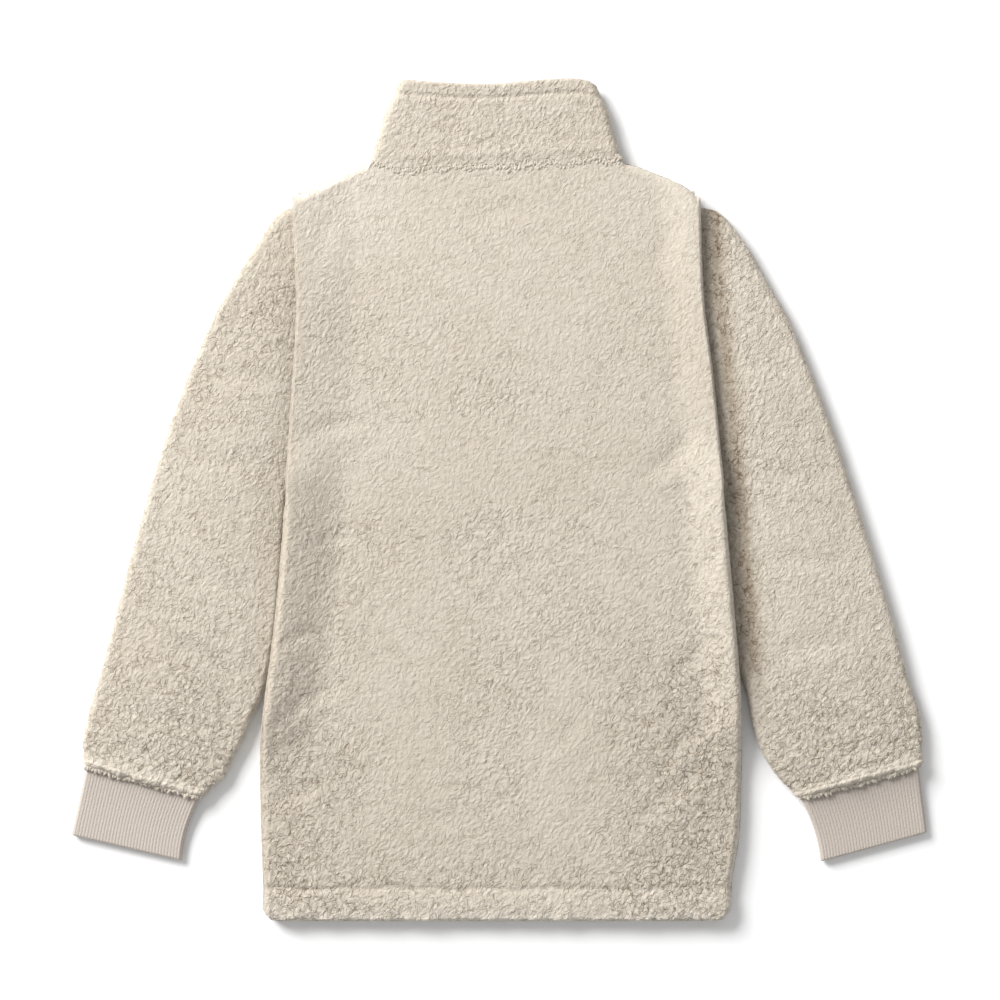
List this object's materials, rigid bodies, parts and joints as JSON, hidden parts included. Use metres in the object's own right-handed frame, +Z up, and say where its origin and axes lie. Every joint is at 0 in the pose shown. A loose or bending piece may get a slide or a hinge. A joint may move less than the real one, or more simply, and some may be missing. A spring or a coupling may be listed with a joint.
{
  "type": "fleece jacket",
  "caption": "Child's sherpa fleece jacket with a stand collar, rib cuffs and a closed front zip, laid flat with its back up.",
  "frame": {"origin": "middle of the underside of the garment's box, on the surface it lies on", "axes": "+Y from hem to collar, +X to the wearer's right, +Z up out of the surface, through the back"},
  "size_m": [0.6832, 0.6722, 0.026],
  "materials": {
    "fleece": "curly sherpa pile",
    "rib_knit": "fine rib knit",
    "zip_tape": "woven tape",
    "zip_plastic": "moulded",
    "zip_metal": "tumbled nickel"
  },
  "bodies": {
    "jacket": {"back": "fleece", "front_left": "fleece", "front_right": "fleece", "sleeve_left": "fleece", "sleeve_right": "fleece", "cuff_left": "rib_knit", "cuff_right": "rib_knit", "collar": "fleece", "zip_tape_left": "zip_tape", "zip_tape_right": "zip_tape", "zip_chain": "zip_plastic", "zip_box": "zip_plastic", "zip_slider": "zip_metal"},
    "pull_tab": {"zip_pull": "zip_metal"}
  },
  "joints": [
    {"name": "pull_hinge", "type": "hinge", "parent": "jacket", "child": "pull_tab", "pos_m": [-0.00178, 0.28172, 0.00183], "axis": [1, 0, 0], "range_deg": [0, 170]}
  ]
}
